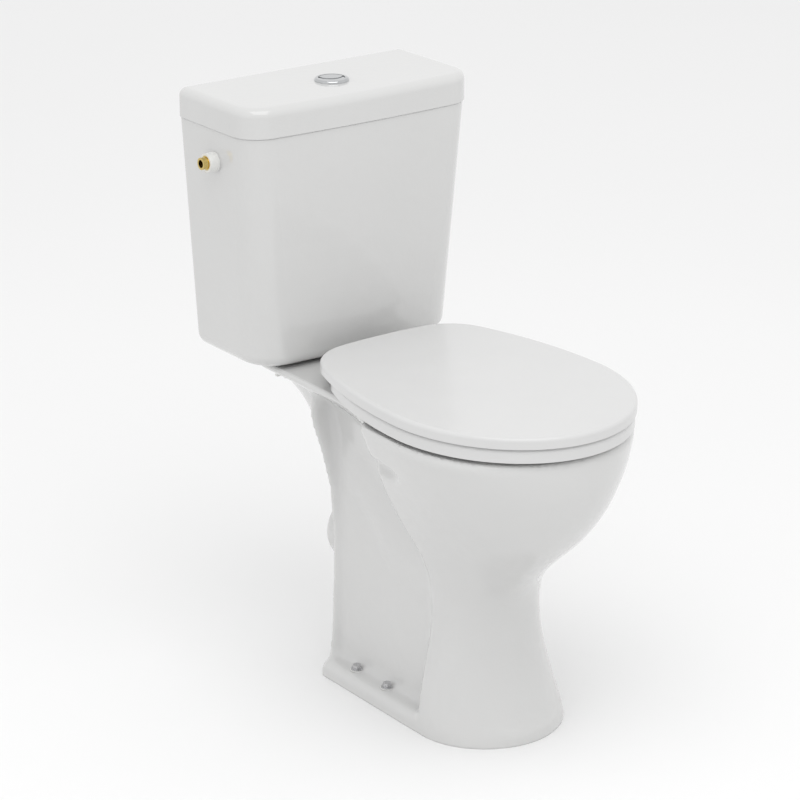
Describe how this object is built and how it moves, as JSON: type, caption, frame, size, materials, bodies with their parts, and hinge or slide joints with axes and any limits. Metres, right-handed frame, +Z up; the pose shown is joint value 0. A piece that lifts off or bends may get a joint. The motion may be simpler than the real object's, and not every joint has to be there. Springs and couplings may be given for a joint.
{
  "type": "close coupled toilet",
  "caption": "Raised-height close coupled toilet: washdown pan with rear waste outlet, tapered cistern with split push button, and hinged seat ring and cover.",
  "frame": {"origin": "on the floor, on the centreline, level with the middle of the four floor fixings; the wall face is the plane Y = +0.310 m", "axes": "+Z up, the toilet faces -Y, +Y points to the wall, X = 0 is the plane of symmetry of the china and the seat"},
  "size_m": [0.399, 0.675, 0.8285],
  "materials": {
    "china": "gloss",
    "seat_plastic": "gloss",
    "white_plastic": "satin",
    "valve_plastic": "satin",
    "lever_plastic": "satin",
    "chrome": "gloss",
    "brass": "satin",
    "steel": "satin",
    "rubber": "matt",
    "buffer_rubber": "matt",
    "foam": "matt"
  },
  "bodies": {
    "root": {"pan": "china", "cistern": "china", "cistern_lid": "china", "button_bezel": "chrome", "button_nut": "white_plastic", "lever_pin": "steel", "flush_valve_body": "valve_plastic", "flush_valve_washer": "rubber", "flush_valve_backnut": "white_plastic", "coupling_gasket": "foam", "inlet_tail": "brass", "inlet_washer": "rubber", "inlet_nut": "white_plastic", "blanking_plug": "white_plastic", "blanking_plug_nut": "white_plastic", "fill_valve_body": "valve_plastic", "float_lever_pin": "steel", "hinge_posts": "white_plastic", "hinge_pins": "steel", "hinge_bolts": "steel", "hinge_plugs": "rubber", "cistern_bolts": "steel", "bolt_seals": "rubber", "bolt_washers": "steel", "shelf_pads": "rubber", "shelf_washers": "steel", "wing_nuts": "white_plastic", "floor_screws": "steel", "floor_washers": "steel", "floor_sleeves": "white_plastic"},
    "cover": {"seat_cover": "seat_plastic", "cover_buffers": "buffer_rubber"},
    "ring": {"seat_ring": "seat_plastic", "ring_buffers": "buffer_rubber"},
    "full_button": {"full_flush_button": "chrome", "full_flush_rod": "white_plastic"},
    "half_button": {"half_flush_button": "chrome", "half_flush_rod": "white_plastic"},
    "full_lever": {"full_flush_lever": "lever_plastic"},
    "half_lever": {"half_flush_lever": "lever_plastic"},
    "outlet_lift": {"overflow_tube": "white_plastic", "flush_seal": "rubber"},
    "float": {"float_cup": "lever_plastic", "float_rod": "steel"},
    "float_arm": {"float_lever": "white_plastic"}
  },
  "joints": [
    {"name": "cover_hinge", "type": "hinge", "parent": "root", "child": "cover", "pos_m": [0, 0.09, 0.461], "axis": [-1, 0, 0], "range_deg": [0, 91]},
    {"name": "seat_ring_hinge", "type": "hinge", "parent": "root", "child": "ring", "pos_m": [0, 0.09, 0.461], "axis": [-1, 0, 0], "range_deg": [0, 88.5]},
    {"name": "full_flush_press", "type": "slide", "parent": "root", "child": "full_button", "axis": [0, 0, -1], "range_m": [0, 0.006], "stiffness_N_per_m": 300, "springref_m": -0.004},
    {"name": "half_flush_press", "type": "slide", "parent": "root", "child": "half_button", "axis": [0, 0, -1], "range_m": [0, 0.006], "stiffness_N_per_m": 300, "springref_m": -0.004},
    {"name": "full_lever_tilt", "type": "hinge", "parent": "root", "child": "full_lever", "pos_m": [-0.014, 0.2, 0.748], "axis": [0, 1, 0], "range_deg": [0, 17.5]},
    {"name": "half_lever_tilt", "type": "hinge", "parent": "root", "child": "half_lever", "pos_m": [-0.014, 0.222, 0.748], "axis": [0, 1, 0], "range_deg": [0, 17.5]},
    {"name": "outlet_lift", "type": "slide", "parent": "root", "child": "outlet_lift", "axis": [0, 0, 1], "range_m": [0, 0.0097]},
    {"name": "float_rise", "type": "slide", "parent": "root", "child": "float", "axis": [0, 0, 1], "range_m": [0, 0.05]},
    {"name": "float_arm_tilt", "type": "hinge", "parent": "root", "child": "float_arm", "pos_m": [-0.121, 0.222, 0.755], "axis": [0, -1, 0], "range_deg": [0, 9]}
  ],
  "couplings": [
    {"joint": "seat_ring_hinge", "follows": "cover_hinge", "ratio": 0.97},
    {"joint": "full_lever_tilt", "follows": "full_flush_press", "rad_per_m": 50},
    {"joint": "outlet_lift", "follows": "full_flush_press", "ratio": 1.6},
    {"joint": "half_lever_tilt", "follows": "half_flush_press", "rad_per_m": 50},
    {"joint": "float_arm_tilt", "follows": "float_rise", "rad_per_m": 3}
  ]
}
